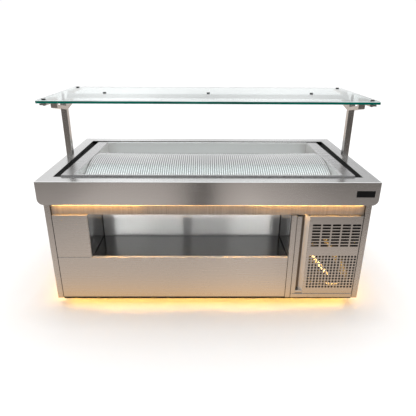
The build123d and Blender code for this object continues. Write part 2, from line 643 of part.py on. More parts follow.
with BuildPart() as niche_end_walls:
    for x0_, x1_ in ((NICHE_X0 - S, NICHE_X0), (NICHE_X1, NICHE_X1 + S)):
        block(x0_, x1_, -538, NICHE_BACK + S, 361.5, NICHE_TOP + S)
        block(x0_, x1_, -516.5, NICHE_BACK + S, NICHE_FLOOR - S, 361.5)
niche_end_walls.part.label = "niche_end_walls"
export_step(niche_end_walls.part, "parts/niche_end_walls.step")

with BuildPart() as rear_panels:
    front_pan(-939, -308, 81, Z_SLAB - 1, side=1)
    front_pan(-305, 305, 81, Z_SLAB - 1, side=1)
    front_pan(308, 939, 81, Z_SLAB - 1, side=1)
    block(826, 874, 500, 545, 150, 178, mode=Mode.SUBTRACT)
rear_panels.part.label = "rear_panels"
export_step(rear_panels.part, "parts/rear_panels.step")

with BuildPart() as power_inlet:
    block(818, 882, CAB_Y, CAB_Y + 3, 144, 184)
    block(826.3, 873.7, CAB_Y - 32, CAB_Y, 150.3, 177.7)
    block(832, 868, CAB_Y - 26, CAB_Y + 4, 154, 174, mode=Mode.SUBTRACT)
    for px, pz in ((841, 162), (850, 167), (859, 162)):
        block(px - 1, px + 1, CAB_Y - 28, CAB_Y - 8, pz - 3, pz + 3)
power_inlet.part.label = "power_inlet"
export_step(power_inlet.part, "parts/power_inlet.step")

# ---------------------------------------------------------------- machine door
with BuildPart() as door_leaf:
    block(LEAF_X0, DOOR_X1, -CAB_Y, -CAB_Y + PAN + 1, DOOR_Z0, DOOR_Z1)
    block(LEAF_X0 + S, DOOR_X1 - S, -CAB_Y + S, -CAB_Y + PAN + 2, DOOR_Z0 + S, DOOR_Z1 - S, mode=Mode.SUBTRACT)
    fillet(door_leaf.faces().sort_by(Axis.Y)[0].edges(), radius=1.2)
    with BuildSketch(Plane.XZ.offset(CAB_Y)):
        with Locations((781.5, 515.3)):
            with GridLocations(60.8, 19.9, 5, 8):
                RectangleRounded(50.5, 12.4, 2.0)
        with Locations((781, 258)):
            with GridLocations(20.3, 20.1, 15, 12):
                RectangleRounded(13.2, 13.2, 3.6)
    extrude(amount=-4, mode=Mode.SUBTRACT)
    # welded pivot blocks in the two hinge corners
    for z0_, z1_ in ((DOOR_Z0 + S, DOOR_Z0 + 24), (DOOR_Z1 - 24, DOOR_Z1 - S)):
        block(914, DOOR_X1 - S, -538.5, -524, z0_, z1_)
    rod_z(PIVOT_X, PIVOT_Y, DOOR_Z0 - 1, DOOR_Z0 + 30, PIVOT_R + FIT, mode=Mode.SUBTRACT)
    rod_z(PIVOT_X, PIVOT_Y, DOOR_Z1 - 30, DOOR_Z1 + 1, PIVOT_R + FIT, mode=Mode.SUBTRACT)
door_leaf.part.label = "door_leaf"
export_step(door_leaf.part, "parts/door_leaf.step")

with BuildPart() as door_pull_channel:
    # stile, finger recess and a slanted grip face that meets the leaf
    with BuildSketch(Plane.XY.offset(DOOR_Z0)):
        with BuildLine():
            Polyline(
                (DOOR_X0, -516), (DOOR_X0, -540), (566, -540), (566, -514.3), (588, -514.3), (612.7, -538.3),
                (612.7, -536.2), (588.6, -512.8), (564.5, -512.8), (564.5, -538.5), (DOOR_X0 + S, -538.5), (DOOR_X0 + S, -516), close=True,
            )
        make_face()
    extrude(amount=DOOR_Z1 - DOOR_Z0)
    fillet(door_pull_channel.edges().filter_by(Axis.Z).group_by(Axis.Y)[0], radius=1.0)
door_pull_channel.part.label = "door_pull_channel"
export_step(door_pull_channel.part, "parts/door_pull_channel.step")

with BuildPart() as pull_end_cap:
    with BuildSketch(Plane.XY.offset(DOOR_Z0 + 2)):
        with BuildLine():
            Polyline((567, -514.6), (567, -537), (609.8, -537), (587.2, -514.6), close=True)
        make_face()
    extrude(amount=18)
    fillet(pull_end_cap.edges().filter_by(Axis.X).group_by(Axis.Y)[0], radius=2)
pull_end_cap.part.label = "pull_end_cap"
export_step(pull_end_cap.part, "parts/pull_end_cap.step")

with BuildPart() as door_pivots:
    block(908, 938, -538, -518, 94, 96)
    rod_z(PIVOT_X, PIVOT_Y, 95, DOOR_Z0 + 20, PIVOT_R)
    block(908, 938, -538, -514, 645, HEADER_Z)
    rod_z(PIVOT_X, PIVOT_Y, DOOR_Z1 - 20, 646, PIVOT_R)
door_pivots.part.label = "door_pivots"
export_step(door_pivots.part, "parts/door_pivots.step")

with BuildPart() as magnetic_catch:
    block(534, 594, -503, -501, 350, 386)
    block(568, 586, -512.3, -503, 352, 384)
magnetic_catch.part.label = "magnetic_catch"
export_step(magnetic_catch.part, "parts/magnetic_catch.step")

# ---------------------------------------------------------------- condensing unit
with BuildPart() as unit_tray:
    block(545, 907, -470, -40, 117, 137)
    block(547, 905, -468, -42, 119, 138, mode=Mode.SUBTRACT)
unit_tray.part.label = "unit_tray"
export_step(unit_tray.part, "parts/unit_tray.step")

COMP_X, COMP_Y = 740.0, -200.0
with BuildPart() as compressor:
    rod_z(COMP_X, COMP_Y, 141, 338, 90)
    fillet(compressor.faces().sort_by(Axis.Z)[-1].edges(), radius=58)
    fillet(compressor.faces().sort_by(Axis.Z)[0].edges(), radius=30)
    rod_z(COMP_X, COMP_Y, 240, 246, 93)
    block(COMP_X - 100, COMP_X + 100, COMP_Y - 70, COMP_Y + 70, 139, 144)
    block(COMP_X + 70, COMP_X + 112, COMP_Y - 30, COMP_Y + 30, 200, 270)
    for sx in (-1, 1):
        for sy in (-1, 1):
            rod_z(COMP_X + sx * 86, COMP_Y + sy * 58, 119, 139.5, 11)
compressor.part.label = "compressor"
export_step(compressor.part, "parts/compressor.step")

with BuildPart() as fan_shroud:
    # front plate with the fan hole, two cheeks on legs
    block(630, 905, -477, -475, 390, 640)
    rod_y(FAN_X, -485, -465, FAN_Z, FAN_R + 6, mode=Mode.SUBTRACT)
    block(630, 632, -477, -300, 390, 640)
    block(903, 905, -477, -300, 390, 640)
    block(630, 632, -340, -300, 119, 390)
    block(903, 905, -340, -300, 119, 390)
    block(630, 905, -477, -300, 640, 642)
    # motor bearer
    block(630, 905, -430, -424, FAN_Z - 8, FAN_Z + 8)
    rod_y(FAN_X, -440, -415, FAN_Z, 43, mode=Mode.SUBTRACT)
fan_shroud.part.label = "fan_shroud"
export_step(fan_shroud.part, "parts/fan_shroud.step")

with BuildPart() as fan_guard:
    for rr in (28, 52, 76, 100, 124):
        with Locations((FAN_X, -481, FAN_Z)):
            Torus(rr, 1.6, rotation=(90, 0, 0))
    for k in range(6):
        with Locations(Location((FAN_X, -481, FAN_Z), (0, 60 * k, 0))):
            with Locations((76, 0, 0)):
                Cylinder(1.8, 98, rotation=(0, 90, 0))
    for k in range(4):
        ca, sa = math.cos(math.radians(45 + 90 * k)), math.sin(math.radians(45 + 90 * k))
        rod_y(FAN_X + 124 * ca, -483, -477, FAN_Z + 124 * sa, 3)
fan_guard.part.label = "fan_guard"
export_step(fan_guard.part, "parts/fan_guard.step")

with BuildPart() as fan_motor:
    rod_y(FAN_X, -434, -372, FAN_Z, 42.6)
    rod_y(FAN_X, -440, -415, FAN_Z, 6 + FIT, mode=Mode.SUBTRACT)
fan_motor.part.label = "fan_motor"
export_step(fan_motor.part, "parts/fan_motor.step")

with BuildPart() as fan_blade:
    rod_y(FAN_X, -470, -442, FAN_Z, 30)
    rod_y(FAN_X, -446, -418, FAN_Z, 6)
    for k in range(5):
        with Locations(Location((FAN_X, -456, FAN_Z), (0, 72 * k, 0))):
            with Locations(Location((69, 0, 0), (26, 0, 0))):
                Box(86, 1.8, 52)
fan_blade.part.label = "fan_blade"
export_step(fan_blade.part, "parts/fan_blade.step")

with BuildPart() as condenser_coil:
    with BuildSketch(Plane.XZ.offset(300)):
        with Locations((767.5, 515)):
            with GridLocations(8, 1, 33, 1):
                Rectangle(0.8, 244)
    extrude(amount=56)
    for zz in (415, 455, 495, 535, 575, 615):
        for yy in (-342, -314):
            rod_x(633, 902, yy, zz, 5)
condenser_coil.part.label = "condenser_coil"
export_step(condenser_coil.part, "parts/condenser_coil.step")


def pipe(points, radius, bend):
    with BuildLine():
        wire = FilletPolyline(*points, radius=bend)
    with BuildSketch(Plane(wire @ 0, z_dir=wire % 0)) as sk:
        Circle(radius)
    sweep(sk.sketch, path=wire)


with BuildPart() as suction_pipe:
    pipe(
        [(548, -405, 368), (640, -405, 368), (806, -405, 160), (806, -300, 160), (791, -262, 160)], 11, 14
    )
suction_pipe.part.label = "suction_pipe"
export_step(suction_pipe.part, "parts/suction_pipe.step")

with BuildPart() as copper_pipes:
    # discharge line to the coil, liquid line with its drier up to the well
    pipe(
        [(740, -200, 336), (740, -200, 366), (880, -200, 366), (880, -314, 366), (880, -314, 392)], 5, 16
    )
    pipe(
        [(660, -314, 392), (660, -314, 368), (660, -280, 368), (590, -280, 368), (590, -280, 200), (590, -180, 200), (590, -180, 640)],
        5, 11,
    )
    rod_z(590, -180, 380, 480, 15)
copper_pipes.part.label = "copper_pipes"
export_step(copper_pipes.part, "parts/copper_pipes.step")

# control box with two rockers, reached with the door open
SW_Y = -497.0
with BuildPart() as control_box:
    block(534.3, 618, -500, -430, 440, 620)
    fillet(control_box.edges().filter_by(Axis.Z).group_by(Axis.Y)[0], radius=2)
    for zz in (470, 510):
        block(566, 588, -501, -486, zz - 10, zz + 10, mode=Mode.SUBTRACT)
    block(556, 598, -502, -498, 555, 585, mode=Mode.SUBTRACT)
control_box.part.label = "control_box"
export_step(control_box.part, "parts/control_box.step")


def rocker(zz):
    with BuildSketch(Plane.YZ.offset(568)) as sk:
        with BuildLine():
            Polyline(
                (SW_Y - 7.5, zz - 7.5), (SW_Y - 4.5, zz), (SW_Y - 7.5, zz + 7.5), (SW_Y + 3, zz + 7.5),
                (SW_Y + 3, zz - 7.5), close=True,
            )
        make_face()
    extrude(sk.sketch, amount=18)
    rod_x(566.2, 587.8, SW_Y + 2, zz, 2.5)


with BuildPart() as cooling_switch:
    rocker(510)
cooling_switch.part.label = "cooling_switch"
export_step(cooling_switch.part, "parts/cooling_switch.step")

with BuildPart() as light_switch:
    rocker(470)
light_switch.part.label = "light_switch"
export_step(light_switch.part, "parts/light_switch.step")

print("files", len(os.listdir("parts")))
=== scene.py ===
import math

import bmesh
import bpy
from mathutils import Matrix, Vector


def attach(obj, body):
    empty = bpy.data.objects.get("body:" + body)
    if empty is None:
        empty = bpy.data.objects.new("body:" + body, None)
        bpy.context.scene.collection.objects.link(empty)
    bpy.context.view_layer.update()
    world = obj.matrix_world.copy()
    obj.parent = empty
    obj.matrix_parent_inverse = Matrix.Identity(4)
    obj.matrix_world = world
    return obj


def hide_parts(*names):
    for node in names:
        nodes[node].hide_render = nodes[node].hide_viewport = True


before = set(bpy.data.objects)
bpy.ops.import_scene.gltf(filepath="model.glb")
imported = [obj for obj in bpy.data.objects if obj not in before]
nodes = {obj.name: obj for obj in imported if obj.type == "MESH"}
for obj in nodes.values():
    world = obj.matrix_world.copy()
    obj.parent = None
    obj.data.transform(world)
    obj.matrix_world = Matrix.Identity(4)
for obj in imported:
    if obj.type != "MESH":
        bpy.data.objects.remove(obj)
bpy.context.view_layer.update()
scene = bpy.context.scene


# ---------------------------------------------------------------- materials

def new_mat(name):
    m = bpy.data.materials.new(name)
    m.use_nodes = True
    nt = m.node_tree
    nt.nodes.clear()
    out = nt.nodes.new("ShaderNodeOutputMaterial")
    p = nt.nodes.new("ShaderNodeBsdfPrincipled")
    nt.links.new(p.outputs["BSDF"], out.inputs["Surface"])
    return m, nt, p


def noise(nt, stretch, scale, detail=2.0, rough=0.5):
    tc = nt.nodes.new("ShaderNodeTexCoord")
    mp = nt.nodes.new("ShaderNodeMapping")
    mp.inputs["Scale"].default_value = stretch
    nt.links.new(tc.outputs["Object"], mp.inputs["Vector"])
    n = nt.nodes.new("ShaderNodeTexNoise")
    n.inputs["Scale"].default_value = scale
    n.inputs["Detail"].default_value = detail
    n.inputs["Roughness"].default_value = rough
    nt.links.new(mp.outputs["Vector"], n.inputs["Vector"])
    return n.outputs["Fac"]


def remap(nt, value, lo, hi, a=0.3, b=0.7):
    n = nt.nodes.new("ShaderNodeMapRange")
    n.inputs["From Min"].default_value = a
    n.inputs["From Max"].default_value = b
    n.inputs["To Min"].default_value = lo
    n.inputs["To Max"].default_value = hi
    nt.links.new(value, n.inputs["Value"])
    return n.outputs["Result"]


def math_node(nt, op, a, b):
    n = nt.nodes.new("ShaderNodeMath")
    n.operation = op
    for i, v in enumerate((a, b)):
        if isinstance(v, (int, float)):
            n.inputs[i].default_value = v
        else:
            nt.links.new(v, n.inputs[i])
    return n.outputs[0]


def ramp(nt, value, stops, ease="LINEAR"):
    n = nt.nodes.new("ShaderNodeValToRGB")
    n.color_ramp.interpolation = ease
    els = n.color_ramp.elements
    while len(els) < len(stops):
        els.new(0.5)
    for e, (at, col) in zip(els, stops):
        e.position = at
        c = (col, col, col) if isinstance(col, (int, float)) else col
        e.color = (c[0], c[1], c[2], 1.0)
    nt.links.new(value, n.inputs["Fac"])
    return n.outputs["Color"]


def bump(nt, p, height, strength, distance):
    b = nt.nodes.new("ShaderNodeBump")
    b.inputs["Strength"].default_value = strength
    b.inputs["Distance"].default_value = distance
    nt.links.new(height, b.inputs["Height"])
    nt.links.new(b.outputs["Normal"], p.inputs["Normal"])


def scaled(col, k):
    return tuple(min(1.0, c * k) for c in col)


AXES = {"X": 0, "Y": 1, "Z": 2}


def along(axis, long_scale, fine_scale):
    s = [fine_scale] * 3
    s[AXES[axis]] = long_scale
    return tuple(s)


def steel(name, tint, rough, grain, metallic=1.0, aniso=0.5, depth=0.02, lift=0.025, band=190.0):
    """Brushed stainless sheet: hair lines along the grain, wider drawn streaks and a faint wiped haze."""
    m, nt, p = new_mat(name)
    hair = noise(nt, along(grain, 3.0, 1500.0), 1.0, 2.0, 0.6)
    streak = noise(nt, along(grain, 0.8, band), 1.0, 3.0, 0.55)
    haze = noise(nt, (1.0, 1.0, 1.0), 4.5, 3.0, 0.55)
    both = math_node(nt, "ADD", math_node(nt, "MULTIPLY", hair, 0.65), math_node(nt, "MULTIPLY", streak, 0.35))
    col = ramp(nt, both, [(0.3, scaled(tint, 1.0 - depth)), (0.5, tint), (0.7, scaled(tint, 1.0 + depth))])
    nt.links.new(col, p.inputs["Base Color"])
    r = math_node(nt, "ADD", remap(nt, both, rough - 0.015, rough + 0.015), remap(nt, haze, -0.012, 0.016))
    nt.links.new(r, p.inputs["Roughness"])
    p.inputs["Metallic"].default_value = metallic
    p.inputs["Anisotropic"].default_value = aniso
    p.inputs["Anisotropic Rotation"].default_value = 0.25
    tan = nt.nodes.new("ShaderNodeTangent")
    tan.direction_type = "RADIAL"
    tan.axis = "Z"
    nt.links.new(tan.outputs["Tangent"], p.inputs["Tangent"])
    bump(nt, p, hair, lift, 0.0003)
    return m


def metal(name, tint, rough, scale=60.0, metallic=1.0, depth=0.1, lift=0.1):
    """Cast, drawn or plated metal with a fine uneven surface."""
    m, nt, p = new_mat(name)
    a = noise(nt, (1.0, 1.0, 1.0), scale, 4.0, 0.6)
    b = noise(nt, (1.0, 1.0, 1.0), scale * 0.12, 3.0, 0.5)
    both = math_node(nt, "ADD", math_node(nt, "MULTIPLY", a, 0.5), math_node(nt, "MULTIPLY", b, 0.5))
    nt.links.new(ramp(nt, both, [(0.32, scaled(tint, 1 - depth)), (0.68, scaled(tint, 1 + depth))]), p.inputs["Base Color"])
    nt.links.new(remap(nt, both, rough - 0.06, rough + 0.08), p.inputs["Roughness"])
    p.inputs["Metallic"].default_value = metallic
    bump(nt, p, a, lift, 0.0004)
    return m


def plastic(name, tint, rough, scale=900.0, depth=0.12, lift=0.25, spec=0.5):
    """Moulded plastic or paint: spark-eroded grain and slight shade changes."""
    m, nt, p = new_mat(name)
    a = noise(nt, (1.0, 1.0, 1.0), scale, 3.0, 0.6)
    b = noise(nt, (1.0, 1.0, 1.0), 14.0, 3.0, 0.5)
    both = math_node(nt, "ADD", math_node(nt, "MULTIPLY", a, 0.4), math_node(nt, "MULTIPLY", b, 0.6))
    nt.links.new(ramp(nt, both, [(0.32, scaled(tint, 1 - depth)), (0.68, scaled(tint, 1 + depth))]), p.inputs["Base Color"])
    nt.links.new(remap(nt, both, rough - 0.05, rough + 0.07), p.inputs["Roughness"])
    p.inputs["Specular IOR Level"].default_value = spec
    bump(nt, p, a, lift, 0.0002)
    return m


def glowing(name, tint, strength, body=(0.9, 0.85, 0.7)):
    """Opal diffuser over lamps, with a little uneven brightness."""
    m, nt, p = new_mat(name)
    a = noise(nt, (1.0, 1.0, 1.0), 55.0, 2.0, 0.5)
    nt.links.new(ramp(nt, a, [(0.3, scaled(body, 0.92)), (0.7, body)]), p.inputs["Base Color"])
    nt.links.new(remap(nt, a, 0.38, 0.5), p.inputs["Roughness"])
    nt.links.new(ramp(nt, a, [(0.3, scaled(tint, 0.9)), (0.7, tint)]), p.inputs["Emission Color"])
    p.inputs["Emission Strength"].default_value = strength
    return m


def glass(name, tint, rough=0.0, ior=1.5):
    m, nt, p = new_mat(name)
    a = noise(nt, (1.0, 1.0, 1.0), 3.0, 2.0, 0.5)
    nt.links.new(ramp(nt, a, [(0.3, scaled(tint, 0.985)), (0.7, tint)]), p.inputs["Base Color"])
    nt.links.new(remap(nt, a, rough, rough + 0.012), p.inputs["Roughness"])
    p.inputs["Transmission Weight"].default_value = 1.0
    p.inputs["IOR"].default_value = ior
    return m


def edge_glass(name, tint, coat):
    """Ground edge of float glass, where the green of the pane adds up."""
    m, nt, p = new_mat(name)
    a = noise(nt, (3.0, 3.0, 40.0), 1.0, 3.0, 0.5)
    b = noise(nt, (1.0, 1.0, 1.0), 260.0, 2.0, 0.5)
    nt.links.new(ramp(nt, a, [(0.35, scaled(tint, 0.6)), (0.6, tint)]), p.inputs["Base Color"])
    nt.links.new(remap(nt, b, 0.05, 0.14), p.inputs["Roughness"])
    p.inputs["Coat Weight"].default_value = coat
    p.inputs["Specular IOR Level"].default_value = 0.3
    p.inputs["Coat Roughness"].default_value = 0.05
    return m


def foam_mat(name, tint):
    m, nt, p = new_mat(name)
    a = noise(nt, (1.0, 1.0, 1.0), 420.0, 3.0, 0.65)
    nt.links.new(ramp(nt, a, [(0.35, scaled(tint, 0.8)), (0.65, tint)]), p.inputs["Base Color"])
    nt.links.new(remap(nt, a, 0.75, 0.95), p.inputs["Roughness"])
    bump(nt, p, a, 0.5, 0.001)
    return m


TOP = (0.80, 0.80, 0.80)
PANEL = (0.60, 0.585, 0.57)
mat = {}
for g in "XYZ":
    mat["top_" + g] = steel("worktop_steel_" + g, TOP, 0.2, g)
    mat["panel_" + g] = steel("panel_steel_" + g, PANEL, 0.27, g)
# painted shade: the niche floor and end walls get a dark steel tint, much darker than the back of the same sheet
mat["niche"] = steel("niche_steel_painted_shade_x", (0.26, 0.257, 0.254), 0.13, "X", aniso=0.2)
mat["niche_back"] = steel("niche_steel_back", (0.72, 0.718, 0.714), 0.10, "X", aniso=0.2, metallic=0.62)
# painted light: the well walls get a brighter, warmer tint than the deck of the same sheet
mat["wall"] = steel("well_wall_steel_painted_light", (0.92, 0.90, 0.885), 0.36, "X", aniso=0.0, metallic=0.8)
# painted light: the header's warm brown tint and strong vertical streaks paint the warm wash and drips of the LED
# strip above it
mat["header"] = steel("header_steel_painted_led_wash_z", (0.335, 0.30, 0.265), 0.34, "Z", metallic=0.6, depth=0.3, band=70.0)
mat["deck"] = steel("deck_steel_x", (0.605, 0.605, 0.61), 0.27, "X", aniso=0.2, lift=0.012)
mat["bed"] = steel("bed_steel_y", (0.725, 0.735, 0.74), 0.16, "Y", aniso=0.0, lift=0.012)
# painted shade: the grooves between the ribs are darkened against their tops
nt = mat["bed"].node_tree
p = next(n for n in nt.nodes if n.type == "BSDF_PRINCIPLED")
b_tc = nt.nodes.new("ShaderNodeTexCoord")
b_sep = nt.nodes.new("ShaderNodeSeparateXYZ")
nt.links.new(b_tc.outputs["Object"], b_sep.inputs["Vector"])
rib = math_node(nt, "FRACT", math_node(nt, "DIVIDE", math_node(nt, "ADD", b_sep.outputs[0], 0.7966), 0.014225), 0.0)
groove_painted_shade = ramp(nt, rib, [(0.0, 0.70), (0.14, 0.70), (0.40, 1.0), (0.72, 1.0), (1.0, 0.70)])
mix = nt.nodes.new("ShaderNodeMix")
mix.data_type = "RGBA"
mix.blend_type = "MULTIPLY"
mix.inputs[0].default_value = 1.0
nt.links.new(p.inputs["Base Color"].links[0].from_socket, mix.inputs[6])
nt.links.new(groove_painted_shade, mix.inputs[7])
nt.links.new(mix.outputs[2], p.inputs["Base Color"])
# painted shade: the inside of the end panels is darkened against the brushed outside, so the bay looks dark behind
# the door's openings
nt = mat["panel_Y"].node_tree
p = next(n for n in nt.nodes if n.type == "BSDF_PRINCIPLED")
e_tc = nt.nodes.new("ShaderNodeTexCoord")
e_sep = nt.nodes.new("ShaderNodeSeparateXYZ")
nt.links.new(e_tc.outputs["Object"], e_sep.inputs["Vector"])
inside = math_node(
    nt, "MULTIPLY",
    math_node(nt, "LESS_THAN", math_node(nt, "ABSOLUTE", e_sep.outputs[0], 0.0), 0.9742),
    math_node(nt, "LESS_THAN", math_node(nt, "ABSOLUTE", e_sep.outputs[1], 0.0), 0.5372))
painted_inner_shade = ramp(nt, inside, [(0.0, 1.0), (1.0, 0.18)])
mix = nt.nodes.new("ShaderNodeMix")
mix.data_type = "RGBA"
mix.blend_type = "MULTIPLY"
mix.inputs[0].default_value = 1.0
nt.links.new(p.inputs["Base Color"].links[0].from_socket, mix.inputs[6])
nt.links.new(painted_inner_shade, mix.inputs[7])
nt.links.new(mix.outputs[2], p.inputs["Base Color"])
# painted shade: the deep faces of the pull channel get a dark brown tint
mat["recess"] = steel("recess_painted_shade_z", (0.13, 0.108, 0.09), 0.3, "Z", aniso=0.0)
mat["grip"] = steel("grip_steel_z", (0.62, 0.60, 0.58), 0.3, "Z", aniso=0.0, metallic=0.5)
mat["lip"] = steel("lip_steel_x", (0.60, 0.58, 0.56), 0.34, "X", aniso=0.0, metallic=0.35)
mat["post"] = steel("post_steel_z", (0.62, 0.60, 0.58), 0.2, "Z", aniso=0.0)
# painted reflection: the bolt heads get a near-black metal tint standing in for the dark reflection on their chrome
# sides
mat["button"] = metal("button_metal_painted_dark_reflection", (0.09, 0.092, 0.095), 0.2, 180.0, depth=0.08, lift=0.04)
# painted shade: the galvanised inner sheet is darkened so the bay looks dark through the door's openings
mat["sheet"] = metal("inner_sheet_galvanised_painted_shade", (0.24, 0.24, 0.235), 0.42, 30.0, depth=0.16)
mat["badge"] = plastic("black_gloss_plate", (0.006, 0.006, 0.0063), 0.2, 700.0, lift=0.03, spec=0.2)
mat["black"] = plastic("black_plastic_moulded", (0.012, 0.012, 0.012), 0.5, spec=0.25)
mat["paint"] = plastic("black_paint_coat", (0.022, 0.022, 0.0225), 0.42, 500.0, lift=0.35, spec=0.35)
mat["glass"] = glass("shelf_glass_pane", (0.895, 0.972, 0.967))
mat["edge"] = edge_glass("shelf_glass_edge", (0.0005, 0.10, 0.074), 0.0)
mat["bevel"] = edge_glass("shelf_glass_bevel", (0.72, 0.79, 0.79), 0.5)
mat["pad"] = glass("clear_pad_soft", (0.93, 0.95, 0.95), 0.2, 1.45)
mat["bar"] = metal("bar_aluminium_satin", (0.92, 0.925, 0.93), 0.5, 220.0, metallic=0.55, depth=0.04, lift=0.04)
mat["alu"] = metal("aluminium_anodised", (0.80, 0.81, 0.82), 0.34, 220.0, depth=0.05, lift=0.05)
# painted shade: the condenser fins are made near black so the bay looks dark through the door's openings
mat["coil"] = metal("coil_fins_painted_shade", (0.06, 0.06, 0.06), 0.5, 220.0, depth=0.1, lift=0.05)
mat["opal"] = glowing("opal_diffuser", (1.0, 0.98, 0.95), 1.2, (0.9, 0.9, 0.9))
mat["led"] = glowing("warm_led_strip", (1.0, 0.53, 0.10), 18.0)
nt = mat["led"].node_tree
led_tc = nt.nodes.new("ShaderNodeTexCoord")
led_sep = nt.nodes.new("ShaderNodeSeparateXYZ")
nt.links.new(led_tc.outputs["Object"], led_sep.inputs["Vector"])
led_high = remap(nt, led_sep.outputs[2], 0.0, 1.0, 0.3, 0.5)
led_run = math_node(nt, "ADD", math_node(nt, "DIVIDE", led_sep.outputs[0], 2.0), 0.5)
led_wave = math_node(nt, "MULTIPLY", ramp(nt, led_run, [(0.0, 0.9), (0.25, 0.8), (0.4, 0.45), (0.5, 0.28), (0.62, 0.5), (0.8, 0.9), (1.0, 0.95)]),
                     remap(nt, noise(nt, (1.0, 1.0, 1.0), 24.0, 3.0, 0.6), 0.5, 1.5))
led_upper = math_node(nt, "MULTIPLY", led_wave, 3.2)
led_mix = nt.nodes.new("ShaderNodeMix")
led_mix.data_type = "FLOAT"
nt.links.new(led_high, led_mix.inputs["Factor"])
led_mix.inputs["A"].default_value = 18.0
nt.links.new(led_upper, led_mix.inputs["B"])
nt.links.new(led_mix.outputs["Result"], [n for n in nt.nodes if n.type == "BSDF_PRINCIPLED"][0].inputs["Emission Strength"])
mat["foam"] = foam_mat("foam_insulation", (0.78, 0.72, 0.55))
mat["pipe_foam"] = foam_mat("pipe_foam_sleeve", (0.60, 0.56, 0.50))
mat["copper"] = metal("copper_tube", (0.22, 0.11, 0.065), 0.3, 120.0, depth=0.12)
mat["valve"] = metal("valve_metal_brass", (0.72, 0.66, 0.55), 0.28, 140.0)
mat["lever"] = plastic("lever_coat_red", (0.42, 0.03, 0.025), 0.4)
mat["grey"] = plastic("grey_plastic_box", (0.34, 0.345, 0.35), 0.46)
mat["rocker"] = plastic("rocker_plastic_dark", (0.03, 0.03, 0.032), 0.32)
mat["foot"] = metal("foot_metal_zinc", (0.62, 0.62, 0.61), 0.34, 90.0)

use = {
    "top_X": "front_rim rear_rim", "top_Y": "left_rim right_rim",
    "panel_X": "door_sill rear_panels",
    "panel_Y": "left_side_panel right_side_panel",
    "panel_Z": "divider_post pull_end_cap",
    "niche": "niche_end_walls", "header": "front_header",
    "bed": "ribbed_bed", "button": "glass_bolts",
    "sheet": "door_pivots magnetic_catch unit_tray fan_shroud air_ducts evaporator_fan_plate",
    "badge": "badge_plate",
    "black": "left_air_grille right_air_grille base_plate power_inlet evaporator_fan_rotor_front evaporator_fan_rotor_rear fan_blade",
    "paint": "cabinet_frame compressor fan_motor fan_guard",
    "pad": "glass_pads", "bar": "light_bar", "alu": "evaporator_coil", "coil": "condenser_coil",
    "opal": "light_bar_diffuser", "led": "led_strips", "foam": "well_insulation",
    "pipe_foam": "suction_pipe", "copper": "copper_pipes", "valve": "drain_fitting drain_valve",
    "lever": "drain_lever", "grey": "control_box", "rocker": "cooling_switch light_switch",
    "foot": "foot_front_left foot_front_right foot_rear_left foot_rear_right",
}
for key, names in use.items():
    for n in names.split():
        for s in nodes[n].material_slots:
            s.material = mat[key]

# ---------------------------------------------------------------- glass shelf with a green ground edge

pane_mesh = nodes["glass_shelf"].data.copy()
pane_mesh.name = "glass_shelf_pane"
pane_mesh.materials.clear()
pane_mesh.materials.append(mat["glass"])
pane_mesh.materials.append(mat["edge"])
pane_mesh.materials.append(mat["bevel"])
for f in pane_mesh.polygons:
    f.material_index = 0 if abs(f.normal.z) > 0.9 else 2 if f.normal.z > 0.3 else 1
pane = bpy.data.objects.new("glass_shelf_pane", pane_mesh)
scene.collection.objects.link(pane)
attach(pane, "island")
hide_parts("glass_shelf")

# ---------------------------------------------------------------- posts with blackened stems under the glass

for key in ("left_post", "right_post"):
    src = nodes[key]
    me = src.data.copy()
    me.name = key + "_steel"
    me.materials.clear()
    me.materials.append(mat["post"])
    me.materials.append(mat["paint"])
    px = 0.96 if key == "right_post" else -0.96
    for f in me.polygons:
        c = f.center
        f.material_index = 1 if c.z > 1.2325 and math.hypot(c.x - px, c.y) < 0.0095 else 0
    ob = bpy.data.objects.new(key + "_steel", me)
    scene.collection.objects.link(ob)
    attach(ob, "island")
    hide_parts(key)

# ---------------------------------------------------------------- niche wrap, satin back and polished floor with painted shade

wrap_mesh = nodes["niche_wrap"].data.copy()
wrap_mesh.name = "niche_wrap_sheet"
wrap_mesh.materials.clear()
wrap_mesh.materials.append(mat["niche"])
wrap_mesh.materials.append(mat["niche_back"])
for f in wrap_mesh.polygons:
    f.material_index = 1 if f.normal.y < -0.9 and f.center.y > -0.23 else 0
wrap = bpy.data.objects.new("niche_wrap_sheet", wrap_mesh)
scene.collection.objects.link(wrap)
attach(wrap, "island")
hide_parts("niche_wrap")

# ---------------------------------------------------------------- well liner, satin walls painted lighter than the polished deck as painted light

liner_mesh = nodes["well_liner"].data.copy()
liner_mesh.name = "well_liner_sheet"
liner_mesh.materials.clear()
liner_mesh.materials.append(mat["deck"])
liner_mesh.materials.append(mat["wall"])
for f in liner_mesh.polygons:
    inside = abs(f.center.x) < 0.8 and abs(f.center.y) < 0.449
    f.material_index = 1 if inside and abs(f.normal.z) < 0.35 else 0
liner = bpy.data.objects.new("well_liner_sheet", liner_mesh)
scene.collection.objects.link(liner)
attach(liner, "island")
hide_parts("well_liner")

# ---------------------------------------------------------------- pull channel, painted shade in its depth, satin on the grip face

pull_mesh = nodes["door_pull_channel"].data.copy()
pull_mesh.name = "door_pull_channel_sheet"
pull_mesh.materials.clear()
for key in ("panel_Z", "recess", "grip"):
    pull_mesh.materials.append(mat[key])
for f in pull_mesh.polygons:
    slanted = f.normal.x < -0.5 and f.normal.y < -0.5
    deep = f.normal.y < -0.9 and f.center.y > -0.522
    f.material_index = 2 if slanted else 1 if deep else 0
pull = bpy.data.objects.new("door_pull_channel_sheet", pull_mesh)
scene.collection.objects.link(pull)
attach(pull, "machine_door")
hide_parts("door_pull_channel")

# ---------------------------------------------------------------- front sheets with satin folds along their edges

